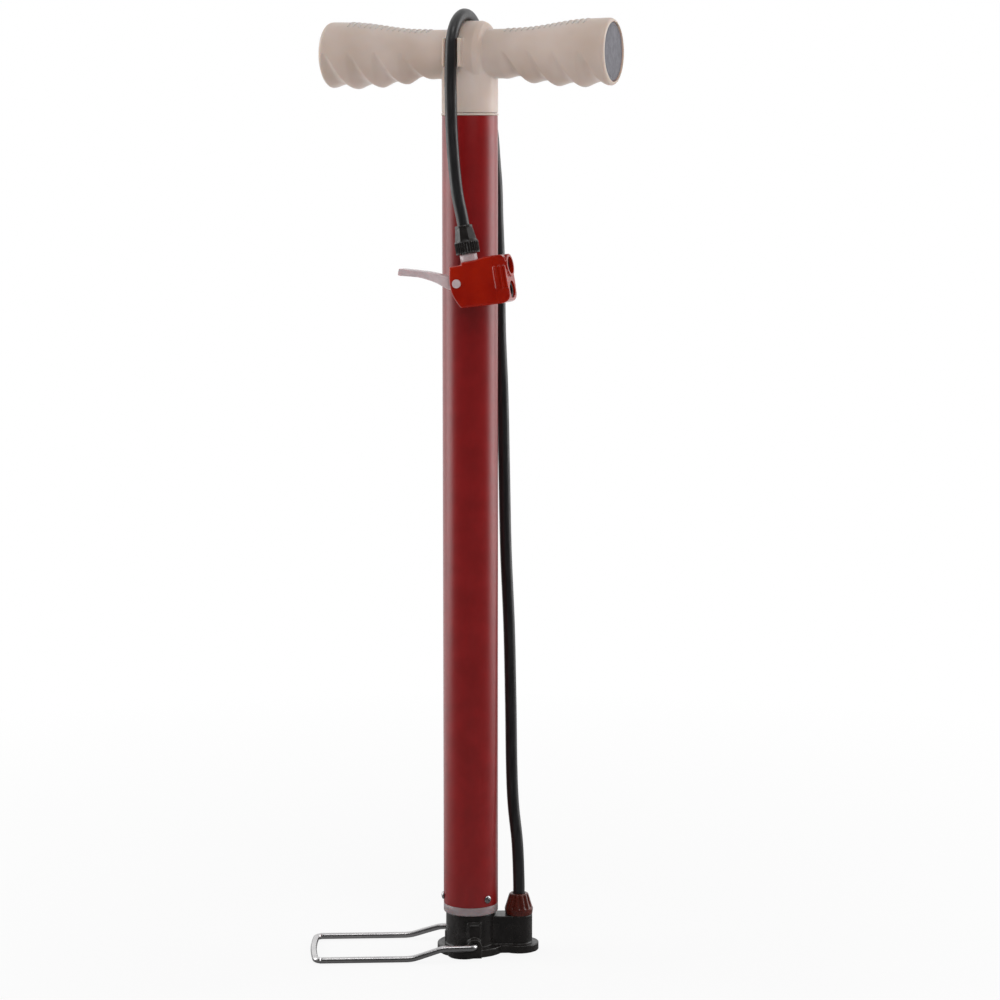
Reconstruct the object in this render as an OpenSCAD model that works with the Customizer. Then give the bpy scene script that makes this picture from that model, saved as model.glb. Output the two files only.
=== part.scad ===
// Floor bike pump: steel barrel on a moulded foot with a folding wire bail,
// a T handle with a long plunger, and a twin-mouth head on a rubber hose.
// Millimetres. +Z up, origin on the barrel axis at the floor.
// +X points at the hose boss, -X at the wire bail, -Y at the user's side.

/* [Barrel] */
// Outer diameter of the steel barrel
barrel_d = 35; // [30:0.5:45]
// Wall of the barrel tube
barrel_wall = 1.5; // [1:0.1:2.5]
// Length of the barrel tube
barrel_len = 503; // [380:1:620]
// Height of the pale ring under the barrel
ring_h = 5.5; // [4:0.5:10]
// How far the plug reaches up inside the barrel
plug_spigot_h = 14; // [12:1:30]

/* [Foot] */
// Height of the moulded socket that carries the barrel
socket_h = 26; // [22:1:40]
// Outer diameter of the socket
socket_d = 32; // [28:0.5:44]
// Distance from the barrel axis to the hose boss
boss_x = 31; // [30:0.5:45]
// Outer diameter of the hose boss
boss_d = 17.4; // [16:0.2:20]
// Height of the hose boss
boss_h = 23.4; // [20:0.2:30]
// Thickness of the foot plate
plate_t = 5; // [4:0.5:8]
// Radius of the round foot plate under the barrel
plate_r = 21.6; // [21:0.2:26]

/* [Wire bail] */
// Diameter of the bail wire
wire_d = 4; // [3:0.25:5]
// Reach of the bail's end bar from the barrel axis
bail_reach = 101.6; // [80:1:130]
// Half the outer spacing of the bail legs
bail_half = 28.5; // [28:0.5:34]
// Height of the pivot above the floor
pivot_z = 8; // [7:0.5:10]

/* [Handle] */
// Overall length of the handle bar
handle_len = 190; // [170:1:260]
// Height of the bar's axis above the barrel
bar_rise = 38.3; // [34:0.1:60]
// Turn of the handle about the barrel axis
handle_yaw = 24; // [0:1:90]
// Radius of the bar beside the hub
grip_root_r = 14.9; // [13:0.1:17]
// Radius of the bar at its ends
grip_end_r = 20.6; // [19:0.1:23]
// How far the finger side of each grip hangs below the bar
grip_belly = 1.4; // [0:0.1:3]
// Radius of the hub drum that the hose is laid over
hub_r = 20; // [18:0.1:21]

/* [Plunger] */
// Diameter of the plunger rod
rod_d = 12; // [10:0.5:14]

/* [Hose and head] */
// Outer diameter of the hose
hose_d = 7.5; // [6:0.1:9]
// Length of the pump head body
head_len = 37.8; // [36:0.2:50]
// Depth of the pump head body, front to back
head_depth = 21; // [20:0.5:26]
// Bore of the mouth for wide valves
wide_bore_d = 8; // [7.8:0.05:8.4]
// Bore of the mouth for narrow valves
narrow_bore_d = 6.2; // [6:0.05:6.5]
// Distance between the two mouths
mouth_pitch = 14.8; // [13.5:0.1:18]

/* [Hidden] */
$fn = 64;
fit = 0.05;
loose = 0.2;
gap = 0.3;

// Barrel stack
ring_z = socket_h;
barrel_z = ring_z + ring_h;
barrel_top = barrel_z + barrel_len;
barrel_r = barrel_d / 2;
bore_r = barrel_r - barrel_wall;
spigot_top = barrel_z + plug_spigot_h;
screw_up = 5;
screw_z = barrel_z + screw_up;
screw_angles = [-55, 65, 185];
screw_shaft_r = 1.4;
screw_head_r = 2.5;
seal_r = 1.1;
seal_z = spigot_top - 3.5;

// Guide in the barrel's mouth
guide_flange_h = 1.2;
guide_flange_r = barrel_r + 0.4;
guide_len = 22;
guide_z = barrel_top - guide_len;

// Plug below the ring, and the check valve under it
plug_low_r = 12;
plug_low_h = 10;
plug_z = ring_z - plug_low_h;
air_r = 3;
valve_r = 5.5;
valve_t = 2;
valve_z = plug_z - loose - valve_t;
chamber_r = 8;
chamber_z = 8;
spring_wire_r = 0.45;
spring_r = 3.6;
spring_turns = 4;
channel_r = 2;
channel_z = 11.5;

// Foot details
lobe = [-5, 14];
lobe_r = 10.5;
boss_plate_r = 12.8;
neck_half = 10.6;
core_wall = 3;
core_depth = 2.2;
pivot_x = 1.5;
pad_w = 9;
pad_y = 17.6;
pad_top = 21.5;
lug_y = 23;
rib_t = 3;
rib_h = 13;
rib_out = 0.8;
pin_depth = 9;

// Bail route
wire_r = wire_d / 2;
pivot_half = bail_half - 2;
floor_z = wire_r + 0.05;
dog_hi_x = -20;
dog_lo_x = -38;
corner_r = 5;
end_bow = 1.4;
elbow_r = 3.4;

// Hose nut and barb
stub_r = 6.3;
stub_h = 6.3;
barb_r = air_r - fit;
barb_low = 20;
collar_r = 5.2;
collar_h = 1.5;
nut_bottom_r = 9.2;
nut_top_r = 6;
nut_h = 13.6;
nut_flutes = 12;
flute_r = 1.8;
hose_start = boss_h + stub_h + collar_h;

// Plunger stack, from the nut up
rod_r = rod_d / 2;
stud_r = 4;
piston_nut_z = spigot_top + 1;
piston_nut_h = 6.5;
piston_nut_r = 7.5;
plate_low_z = piston_nut_z + piston_nut_h;
plate_low_h = 3.5;
cup_web_z = plate_low_z + plate_low_h;
cup_web_h = 2;
cup_skirt = 9;
cup_wall = 1.7;
backing_z = cup_web_z + cup_web_h;
backing_h = 4;
bumper_z = backing_z + backing_h;
bumper_h = 6;
rod_z = bumper_z - backing_h;
bar_z = barrel_top + bar_rise;
rod_in_bar = 6.8;
rod_top = bar_z - rod_in_bar;
insert_h = 10;
insert_r = 8;

// Handle details
hose_rest = 0.25;
neck_r = barrel_r + 0.1;
neck_z = barrel_top + guide_flange_h + gap;
hub_left = -11;
hub_right = 13;
half_len = handle_len / 2;
hollow_r = 9.5;
hollow_in = 24;
cap_r = 18.25;
cap_t = 3.2;
cap_recess = 0.5;
scallop_r = 11.3;
scallop_depth = 2.8;
scallop_count = 4;
scallop_pitch = 17;
last_scallop = 10.5;
hose_side = -3;
ear_w = 2;
ear_h = 18;
ear_reach = 25;

// Head frame: the lever pin's axis at the middle of the body's depth
head_at = [-6.4, -29, 431.4];
head_tilt = 10;
head_yaw = 20;
nose_r = 5.2;
face_x = head_len - nose_r;
rear_bottom = -15.2;
rear_top = 11;
step_x = 4.2;
step_top = 12.6;
block_x = 15;
block_round = 2.4;
mouth_mid = -1.5;
wide_z = mouth_mid + mouth_pitch / 2;
narrow_z = mouth_mid - mouth_pitch / 2;
mouth_r = 5.3;
mouth_rim_r = 6.6;
block_wall = 1.1;
block_top = wide_z + mouth_rim_r + block_wall;
block_bottom = narrow_z - mouth_rim_r - block_wall;
mouth_rim_h = 0.8;
seat_x = 20.4;
seat_back = 2;
grommet_len = face_x - seat_x - seat_back;
chamber_x0 = 14.2;
chamber_half = 4.6;
slot_half = 4.4;
slot_x = 6.2;
slot_top = 7.2;
pin_r = 2;
pin_head_r = 2.7;
boss_ring_r = 4.8;
rib_count = 3;
rib_pitch = 3.6;
rib_back = 11;
rib_r = 0.8;
rib_z = -7;
rib_len = 13;
pusher_rod_r = 3.4;
pusher_x = 4.7;
pusher_plate_x = 15.3;
pusher_plate_t = 3.4;
pusher_hole_r = 2.6;
lever_half = slot_half - gap;
lever_len = 41.2;
lever_rest = 20;
lever_swing = 85;
paddle_half = 5.2;
arm_root_r = 4.4;
arm_mid_r = 2.9;
paddle_r = 2;
arm_tip_r = 2.2;
cam_r = 4.1;
cam_off = 2.2;
cam_lobe_r = 3.3;
stem_x = 7.3;
stem_spigot_r = 3.5;
stem_spigot_z = 8.3;
stem_r = 5.3;
air_z = 4.6;
air_way_r = 1.2;
ferrule_z = 17.1;
band_r = 7.5;
band_h = 7.5;
knurls = 24;
cone_top_r = 5.45;
ferrule_h = 17.8;
hose_end_z = ferrule_z + 7;
hose_r = hose_d / 2;
hose_bore_r = 1.5;
hose_sides = 12;

// Route of the hose's rise, from the foot up the right and behind the barrel
split_z = 490;
rise_points = [
    [boss_x, 0, hose_start], [boss_x, 0, 45], [30, 0, 70], [27.5, 1.5, 95],
    [26.5, 3, 120], [26, 4.5, 160], [25, 6, 210], [23, 8, 260], [22, 9, 310],
    [21, 10, 360], [19.5, 11.5, 400], [19, 12.5, 440], [18, 14, 470], [17.5, 15, split_z]
];
// Route of the upper hose: behind the neck, over the hub and down to the head
loop_r = hub_r + hose_rest + hose_r;
loop_points = [
    [17.5, 15, split_z], [16.5, 17, 505], [15, 20, 525], [11.5, 22.5, 545],
    [8, 23.5, 560], [7, 23, bar_z]
];
front_points = [
    [-12.5, -20.7, bar_z], [-12.8, -21.8, 550], [-12, -24, 520], [-9.5, -27.3, 490]
];

// ---------- shared shapes ----------

// Round tube with its foot at z
module tube(outer, inner, z, h) {
    translate([0, 0, z]) difference() {
        cylinder(r = outer, h = h);
        translate([0, 0, -1]) cylinder(r = inner, h = h + 2);
    }
}

// Outline of a rectangle with round corners, from one corner to the opposite one
module round_rect(a, b, r) {
    translate([a[0] + r, a[1]]) square([b[0] - a[0] - 2 * r, b[1] - a[1]]);
    translate([a[0], a[1] + r]) square([b[0] - a[0], b[1] - a[1] - 2 * r]);
    for (x = [a[0] + r, b[0] - r], y = [a[1] + r, b[1] - r]) translate([x, y]) circle(r = r);
}

module in_head() {
    translate(head_at) rotate([0, -head_tilt, -head_yaw]) children();
}

module in_handle() {
    translate([0, 0, bar_z]) rotate([0, 0, -handle_yaw]) children();
}

// Point of the head's frame in the pump's frame
function head_point(x, z) = head_at + [
    (x * cos(head_tilt) - z * sin(head_tilt)) * cos(head_yaw),
    -(x * cos(head_tilt) - z * sin(head_tilt)) * sin(head_yaw),
    x * sin(head_tilt) + z * cos(head_tilt)
];

// Point on the round loop over the hub, at an angle up from the back
function loop_point(t) = [
    hose_side * cos(handle_yaw) + loop_r * cos(t) * sin(handle_yaw),
    -hose_side * sin(handle_yaw) + loop_r * cos(t) * cos(handle_yaw),
    bar_z + loop_r * sin(t)
];

// Smooth curve through the route's points
function spline(p0, p1, p2, p3, t) = 0.5 * (2 * p1 + (p2 - p0) * t
    + (2 * p0 - 5 * p1 + 4 * p2 - p3) * t * t + (3 * p1 - p0 - 3 * p2 + p3) * t * t * t);
function smooth(p, n) = concat([
    for (i = [0 : len(p) - 2], k = [0 : n - 1])
        spline(p[max(i - 1, 0)], p[i], p[i + 1], p[min(i + 2, len(p) - 1)], k / n)
], [p[len(p) - 1]]);

function unit(v) = v / norm(v);
function along(p, i) = unit(p[min(i + 1, len(p) - 1)] - p[max(i - 1, 0)]);

// Round bar along a list of points; the ends are cut square to the given directions
module swept(p, radius, sides, first, last) {
    n = len(p);
    rings = [for (i = [0 : n - 1])
        let (d = i == 0 ? first : i == n - 1 ? last : along(p, i),
             side = unit(cross(d, [0.31, -0.9, 0.3])), up = cross(side, d))
        for (k = [0 : sides - 1])
            p[i] + radius * (cos(k * 360 / sides) * side + sin(k * 360 / sides) * up)];
    walls = [for (i = [0 : n - 2], k = [0 : sides - 1])
        let (a = i * sides + k, b = i * sides + (k + 1) % sides)
        each [[a, b, b + sides], [a, b + sides, a + sides]]];
    start = [for (k = [1 : sides - 2]) [0, k + 1, k]];
    end = [for (k = [1 : sides - 2]) let (o = (n - 1) * sides) [o, o + k, o + k + 1]];
    polyhedron(points = rings, faces = concat(walls, start, end));
}

// ---------- foot ----------

// Plan of the foot plate, drawn in by a wall
module foot_plan(inset) {
    circle(r = plate_r - inset);
    for (s = [-1, 1]) translate([lobe[0], s * lobe[1]]) circle(r = lobe_r - inset);
    translate([boss_x, 0]) circle(r = boss_plate_r - inset);
    translate([0, -neck_half + inset]) square([boss_x, 2 * (neck_half - inset)]);
}

module foot() {
    color([0.08, 0.07, 0.07]) difference() {
        union() {
            linear_extrude(plate_t) foot_plan(0);
            cylinder(d = socket_d, h = socket_h);
            translate([boss_x, 0, 0]) cylinder(d = boss_d, h = boss_h);
            translate([0, -boss_d / 2 + 1, 0]) cube([boss_x, boss_d - 2, boss_h]);
            translate([boss_x, 0, boss_h]) cylinder(r = stub_r, h = stub_h);
            for (s = [-1, 1]) foot_lug(s);
            translate([-socket_d / 2 - rib_out, -rib_t / 2, 0]) cube([rib_t, rib_t, rib_h]);
        }
        translate([0, 0, plug_z]) cylinder(r = plug_low_r + fit, h = plug_low_h + 1);
        translate([0, 0, chamber_z]) cylinder(r = chamber_r, h = socket_h);
        translate([0, 0, channel_z]) rotate([0, 90, 0]) cylinder(r = channel_r, h = boss_x, $fn = 32);
        translate([boss_x, 0, channel_z - channel_r]) cylinder(r = air_r, h = boss_h + stub_h, $fn = 32);
        for (s = [-1, 1])
            translate([pivot_x, s * (lug_y - pin_depth), pivot_z])
                rotate([-s * 90, 0, 0]) cylinder(r = wire_r + fit, h = pin_depth + 1, $fn = 32);
        translate([0, 0, -1]) linear_extrude(core_depth + 1) foot_core();
    }
}

// Cored underside: the plate's plan less its rim
module foot_core() {
    difference() {
        foot_plan(core_wall);
        circle(r = chamber_r + 1.5);
        translate([-core_wall / 2, -plate_r - lobe_r]) square([core_wall, 2 * (plate_r + lobe_r)]);
        translate([-plate_r, -core_wall / 2]) square([plate_r + boss_x, core_wall]);
        translate([boss_x, 0]) circle(r = air_r + 2.5);
    }
}

// Pad and lug that carry one end of the bail
module foot_lug(side) {
    rotate([0, 0, side < 0 ? 0 : 180]) mirror([side < 0 ? 0 : 1, 0, 0]) {
        translate([pivot_x - pad_w / 2, -pad_y, 0]) cube([pad_w, pad_y - plug_low_r - 1, pad_top]);
        translate([pivot_x - pad_w / 2, -lug_y, 0]) cube([pad_w, lug_y - plug_low_r - 1, pivot_z]);
        translate([pivot_x, -plug_low_r - 1, pivot_z]) rotate([90, 0, 0])
            cylinder(d = pad_w, h = lug_y - plug_low_r - 1);
    }
}

// One side of the bail's centreline, from its pin to the middle of the end bar
function bail_side(s) = concat(
    [[pivot_x, s * (lug_y - 3), pivot_z]],
    [for (t = [0 : 30 : 90]) [pivot_x - elbow_r + elbow_r * cos(t), s * (pivot_half - elbow_r + elbow_r * sin(t)), pivot_z]],
    [[dog_hi_x + 3, s * (pivot_half + 0.6), pivot_z], [dog_hi_x - 2, s * (pivot_half + 0.9), pivot_z - 0.8]],
    [[dog_lo_x + 2, s * (bail_half - 0.2), floor_z + 0.8], [dog_lo_x - 3, s * bail_half, floor_z]],
    [for (t = [0 : 18 : 90])
        [-bail_reach + end_bow + corner_r * (1 - sin(t)), s * (bail_half - corner_r + corner_r * cos(t)), floor_z]],
    s > 0 ? [] : [[-bail_reach, 0, floor_z]]
);

module foot_bail() {
    left = bail_side(-1);
    right = bail_side(1);
    path = concat(left, [for (i = [len(right) - 1 : -1 : 0]) right[i]]);
    color([0.78, 0.78, 0.8]) {
        swept(path, wire_r - 0.02, 16, [0, -1, 0], [0, -1, 0]);
        for (s = [-1, 1]) translate([pivot_x, s * (lug_y - pin_depth + 0.5), pivot_z])
            rotate([-s * 90, 0, 0]) cylinder(r = wire_r, h = pin_depth - 1.5, $fn = 32);
    }
}

// ---------- barrel and its fittings ----------

module bottom_plug() {
    color([0.80, 0.74, 0.74]) difference() {
        rotate_extrude() polygon([
            [air_r, plug_z], [plug_low_r, plug_z], [plug_low_r, ring_z], [barrel_r - 0.8, ring_z],
            [barrel_r, ring_z + 0.8], [barrel_r, barrel_z], [bore_r - fit, barrel_z],
            [bore_r - fit, seal_z - seal_r], [bore_r - 2 * seal_r, seal_z - seal_r],
            [bore_r - 2 * seal_r, seal_z + seal_r], [bore_r - fit, seal_z + seal_r],
            [bore_r - fit, spigot_top - 1], [bore_r - 1, spigot_top], [air_r, spigot_top]
        ]);
        for (a = screw_angles) rotate([0, 0, a]) translate([bore_r - 8, 0, screw_z])
            rotate([0, 90, 0]) cylinder(r = screw_shaft_r + fit, h = 12, $fn = 32);
    }
}

module plug_seal() {
    color([0.05, 0.05, 0.05]) rotate_extrude() translate([bore_r - fit - seal_r + 0.03, seal_z])
        circle(r = seal_r - 0.04, $fn = 32);
}

module barrel() {
    color([0.62, 0.07, 0.09]) difference() {
        tube(barrel_r, bore_r, barrel_z, barrel_len);
        for (a = screw_angles) rotate([0, 0, a]) translate([bore_r - 2, 0, screw_z])
            rotate([0, 90, 0]) cylinder(r = screw_shaft_r + loose, h = barrel_wall + 4, $fn = 32);
    }
}

module barrel_screws() {
    color([0.6, 0.6, 0.62]) for (a = screw_angles) rotate([0, 0, a]) translate([0, 0, screw_z]) rotate([0, 90, 0]) {
        translate([0, 0, bore_r - 7]) cylinder(r = screw_shaft_r, h = 7 + barrel_wall + 0.6, $fn = 32);
        translate([0, 0, barrel_r + 0.05]) difference() {
            rotate_extrude() polygon([[0, 0], [screw_head_r, 0], [screw_head_r, 0.5], [1.9, 1.3], [0, 1.5]]);
            for (t = [0, 90]) rotate([0, 0, t]) translate([-1.4, -0.3, 0.7]) cube([2.8, 0.6, 1]);
        }
    }
}

module top_guide() {
    color([0.83, 0.78, 0.73]) rotate_extrude() polygon([
        [rod_r + 0.1, guide_z], [bore_r - fit, guide_z], [bore_r - fit, barrel_top],
        [guide_flange_r, barrel_top], [guide_flange_r, barrel_top + guide_flange_h],
        [rod_r + 0.1, barrel_top + guide_flange_h]
    ]);
}

module valve_disc() {
    color([0.1, 0.1, 0.1]) translate([0, 0, valve_z]) {
        cylinder(r = valve_r, h = valve_t);
    }
}

// Spring that holds the check valve shut, as a stack of coils
module valve_spring() {
    span = valve_z - chamber_z - 2 * spring_wire_r;
    color([0.7, 0.7, 0.72]) for (i = [0 : spring_turns - 1])
        translate([0, 0, chamber_z + spring_wire_r + 0.02 + i * (span - 0.04) / (spring_turns - 1)])
            rotate_extrude() translate([spring_r, 0]) circle(r = spring_wire_r, $fn = 16);
}

// ---------- hose connection ----------

module hose_barb() {
    color([0.75, 0.6, 0.3]) translate([boss_x, 0, 0]) difference() {
        union() {
            translate([0, 0, barb_low]) cylinder(r = barb_r, h = hose_start - barb_low, $fn = 32);
            translate([0, 0, boss_h + stub_h]) cylinder(r = collar_r, h = collar_h);
        }
        translate([0, 0, barb_low - 1]) cylinder(r = hose_bore_r, h = hose_start, $fn = 24);
    }
}

module hose_nut() {
    color([0.26, 0.07, 0.05]) translate([boss_x, 0, boss_h]) difference() {
        rotate_extrude() polygon([
            [stub_r + fit, 0], [nut_bottom_r, 0], [nut_bottom_r, 1.5],
            [nut_top_r, nut_h - 0.8], [nut_top_r - 0.6, nut_h], [hose_r + 0.2, nut_h],
            [hose_r + 0.2, stub_h + collar_h + 1.2], [stub_r + fit, stub_h + collar_h + 0.2]
        ]);
        for (i = [0 : nut_flutes - 1]) rotate([0, 0, i * 360 / nut_flutes])
            translate([nut_bottom_r + flute_r - 0.6, 0, 1.8])
                rotate([0, -atan((nut_bottom_r - nut_top_r) / (nut_h - 1.5)), 0])
                    cylinder(r = flute_r, h = nut_h + 4, $fn = 24);
    }
}

module hose_rise() {
    p = smooth(rise_points, 2);
    color([0.09, 0.08, 0.08]) swept(p, hose_r, hose_sides, [0, 0, 1], [0, 0, 1]);
}

module hose_loop() {
    arc = [for (t = [20 : 20 : 160]) loop_point(t)];
    tail = [head_point(stem_x, ferrule_z + ferrule_h + 4), head_point(stem_x, hose_end_z)];
    p = smooth(concat(loop_points, arc, front_points, tail), 2);
    color([0.09, 0.08, 0.08]) swept(p, hose_r, hose_sides, [0, 0, 1], unit(tail[1] - tail[0]));
}

// ---------- plunger ----------

module plunger_rod() {
    color([0.75, 0.75, 0.77]) {
        translate([0, 0, piston_nut_z + 1]) cylinder(r = stud_r, h = rod_z - piston_nut_z, $fn = 32);
        translate([0, 0, rod_z]) cylinder(r = rod_r, h = rod_top - rod_z);
        translate([0, 0, rod_top - 1]) cylinder(r = stud_r, h = insert_h + 1, $fn = 32);
    }
}

module piston_nut() {
    color([0.7, 0.7, 0.7]) translate([0, 0, piston_nut_z]) difference() {
        cylinder(r = piston_nut_r, h = piston_nut_h, $fn = 6);
        translate([0, 0, -1]) cylinder(r = stud_r + fit, h = piston_nut_h + 2, $fn = 32);
    }
}

module piston_plate() {
    color([0.2, 0.2, 0.22]) tube(bore_r - cup_wall - 0.6, stud_r + fit, plate_low_z, plate_low_h);
}

module cup_seal() {
    color([0.1, 0.1, 0.1]) rotate_extrude() polygon([
        [stud_r + fit, cup_web_z], [bore_r - cup_wall - 0.3, cup_web_z],
        [bore_r - cup_wall - 0.1, cup_web_z + cup_web_h - cup_skirt], [bore_r - fit, cup_web_z + cup_web_h - cup_skirt],
        [bore_r - fit, cup_web_z + 1], [bore_r - 0.6, cup_web_z + cup_web_h], [stud_r + fit, cup_web_z + cup_web_h]
    ]);
}

module piston_backing() {
    color([0.2, 0.2, 0.22]) difference() {
        translate([0, 0, backing_z]) cylinder(r = bore_r - 0.4, h = backing_h);
        translate([0, 0, backing_z - 1]) cylinder(r = rod_r + fit, h = backing_h + 2);
    }
}

module rod_bumper() {
    color([0.12, 0.12, 0.12]) tube(rod_r + 5, rod_r + fit, bumper_z, bumper_h);
}

// ---------- handle ----------

// Radius of the bar against distance from the hub
grip_line = [
    [0, grip_root_r], [30, grip_root_r], [42, grip_root_r + 0.6], [52, grip_root_r + 2],
    [half_len - 31, grip_end_r - 1.8], [half_len - 19, grip_end_r - 0.5], [half_len - 7, grip_end_r],
    [half_len - 3, grip_end_r]
];
// The same for the fuller finger side, about its own lower axis
belly_line = [
    [0, grip_root_r - 1], [28, grip_root_r - 0.6], [41, grip_root_r + 2.6],
    [half_len - 37, grip_end_r - 1.3], [half_len - 19, grip_end_r - 0.2], [half_len - 3, grip_end_r - 1.4]
];

// Bar turned to a half profile, with its ends rounded over
module grip_solid(line) {
    end_r = line[len(line) - 1][1];
    half = concat(line, [[half_len - 1, end_r - 0.8], [half_len, end_r - 2.2]]);
    rotate([0, 90, 0]) rotate_extrude() polygon(concat(
        [[0, -half_len]],
        [for (i = [len(half) - 1 : -1 : 0]) [half[i][1], -half[i][0]]],
        [for (i = [1 : len(half) - 1]) [half[i][1], half[i][0]]],
        [[0, half_len]]
    ));
}

module handle() {
    color([0.86, 0.80, 0.74]) difference() {
        union() {
            in_handle() grip_solid(grip_line);
            in_handle() translate([0, 0, -grip_belly]) grip_solid(belly_line);
            translate([0, 0, neck_z]) cylinder(r = neck_r, h = bar_z - neck_z);
            in_handle() translate([hub_left, 0, 0]) rotate([0, 90, 0]) rotate_extrude() polygon([
                [0, 0], [hub_r - 2, 0], [hub_r, 2], [hub_r, hub_right - hub_left - 3],
                [hub_r - 3, hub_right - hub_left], [0, hub_right - hub_left]
            ]);
            for (s = [-1, 1]) in_handle()
                translate([hose_side + s * (hose_r + loose + ear_w / 2) - ear_w / 2, -ear_reach, -ear_h / 2])
                    cube([ear_w, ear_reach - hub_r + 4, ear_h]);
        }
        translate([0, 0, neck_z - 1]) cylinder(r = rod_r + fit, h = rod_top - neck_z + 1);
        translate([0, 0, rod_top]) cylinder(r = insert_r, h = insert_h, $fn = 6);
        in_handle() for (s = [-1, 1]) mirror([s < 0 ? 1 : 0, 0, 0]) {
            translate([hollow_in, 0, 0]) rotate([0, 90, 0]) cylinder(r = hollow_r, h = half_len);
            translate([half_len - cap_t - cap_recess, 0, 0]) rotate([0, 90, 0]) cylinder(r = cap_r + fit, h = 10);
            for (i = [0 : scallop_count - 1]) let (x = half_len - last_scallop - i * scallop_pitch)
                translate([x, 0, -grip_bottom(x) - scallop_r + scallop_depth])
                    rotate([90, 0, 0]) cylinder(r = scallop_r, h = 60, center = true);
        }
    }
}

// How far below the bar's axis the grip reaches where a scallop is cut
function grip_bottom(x) = grip_belly + lookup(x, belly_line);

module rod_insert() {
    color([0.75, 0.62, 0.35]) translate([0, 0, rod_top]) difference() {
        cylinder(r = insert_r - fit, h = insert_h - fit, $fn = 6);
        translate([0, 0, -1]) cylinder(r = stud_r + fit, h = insert_h + 2, $fn = 32);
    }
}

module end_cap(side) {
    color([0.33, 0.33, 0.36]) in_handle() mirror([side < 0 ? 1 : 0, 0, 0]) {
        translate([half_len - cap_t - cap_recess, 0, 0]) rotate([0, 90, 0]) cylinder(r = cap_r, h = cap_t);
        translate([half_len - cap_t - cap_recess - 8, 0, 0]) rotate([0, 90, 0]) cylinder(r = hollow_r - fit, h = 9);
    }
}

// ---------- pump head ----------

module head_ferrule() {
    color([0.1, 0.1, 0.1]) in_head() translate([stem_x, 0, ferrule_z]) difference() {
        rotate_extrude() polygon([
            [stem_r - 0.4 + fit, 0], [band_r - 0.5, 0], [band_r, 0.5], [band_r, band_h],
            [cone_top_r, ferrule_h - 0.5], [cone_top_r - 0.5, ferrule_h], [hose_r + 0.3, ferrule_h],
            [hose_r + 0.3, hose_end_z - ferrule_z + 1.2], [stem_r - 0.4 + fit, hose_end_z - ferrule_z]
        ]);
        for (i = [0 : knurls - 1]) rotate([0, 0, i * 360 / knurls]) translate([band_r + 0.35, 0, 1])
            cylinder(r = 0.6, h = band_h - 2, $fn = 16);
    }
}

module head_stem() {
    color([0.82, 0.75, 0.77]) in_head() translate([stem_x, 0, 0]) difference() {
        union() {
            translate([0, 0, stem_spigot_z]) cylinder(r = stem_spigot_r, h = 5);
            translate([0, 0, rear_top + 0.05]) cylinder(r = stem_r, h = ferrule_z - rear_top - 0.05);
            translate([0, 0, ferrule_z - 1]) cylinder(r = stem_r - 0.4, h = hose_end_z - ferrule_z + 1);
        }
        translate([0, 0, stem_spigot_z - 1]) cylinder(r = hose_bore_r, h = 30, $fn = 24);
    }
}

module head_body() {
    color([0.72, 0.12, 0.05]) in_head() difference() {
        union() {
            rotate([90, 0, 0]) linear_extrude(head_depth, center = true) {
                polygon([
                    [-nose_r + 1.8, rear_top], [-nose_r + 0.6, 5], [-nose_r, 0], [-nose_r + 0.2, -4],
                    [-nose_r + 1.6, -9], [-nose_r + 3.8, -13.4], [-nose_r + 5.2, rear_bottom],
                    [block_x + 5, block_bottom], [block_x + 5, block_top], [block_x, step_top],
                    [step_x + 0.3, step_top], [step_x, rear_top]
                ]);
                round_rect([block_x, block_bottom], [face_x, block_top], block_round);
            }
            for (z = [wide_z, narrow_z]) translate([face_x - 4, 0, z]) rotate([0, 90, 0])
                cylinder(r = mouth_rim_r, h = 4 + mouth_rim_h);
            for (s = [-1, 1]) translate([0, s * (head_depth / 2 - 1), 0]) rotate([-s * 90, 0, 0])
                cylinder(r = boss_ring_r, h = 1.5);
            for (s = [-1, 1], i = [0 : rib_count - 1])
                translate([face_x - rib_back + rib_pitch * i, s * (head_depth / 2 - 0.2), rib_z])
                    cylinder(r = rib_r, h = rib_len, $fn = 16);
        }
        translate([-nose_r - 1, -slot_half, rear_bottom - 1])
            cube([slot_x + nose_r + 1, 2 * slot_half, slot_top - rear_bottom + 1]);
        rotate([90, 0, 0]) cylinder(r = pin_r + fit, h = head_depth + 6, center = true, $fn = 32);
        for (s = [-1, 1]) translate([0, s * (head_depth / 2 - 0.7), 0]) rotate([-s * 90, 0, 0])
            cylinder(r = pin_head_r + fit, h = 3, $fn = 32);
        translate([slot_x - 1, 0, mouth_mid]) rotate([0, 90, 0])
            cylinder(r = pusher_rod_r + 0.1, h = chamber_x0 - slot_x + 2, $fn = 32);
        translate([chamber_x0, -chamber_half, narrow_z - 4]) cube([seat_x - chamber_x0, 2 * chamber_half, mouth_pitch + 8]);
        for (z = [wide_z, narrow_z]) translate([seat_x - 1, 0, z]) rotate([0, 90, 0])
            cylinder(r = mouth_r, h = 20);
        translate([stem_x, 0, stem_spigot_z - 0.1]) cylinder(r = stem_spigot_r + fit, h = 10);
        translate([stem_x, 0, rear_top]) cylinder(r = stem_r + fit, h = 10);
        translate([stem_x + 1.6, 0, air_z]) cylinder(r = air_way_r, h = 6, $fn = 24);
        translate([stem_x + 1.6, 0, air_z]) rotate([0, 90, 0]) cylinder(r = air_way_r, h = 8, $fn = 24);
    }
}

// Round across the lever, used to build its arm
module lever_round(x, z, r, half) {
    translate([x, 0, z]) rotate([90, 0, 0]) cylinder(r = r, h = 2 * half, center = true, $fn = 32);
}

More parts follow.
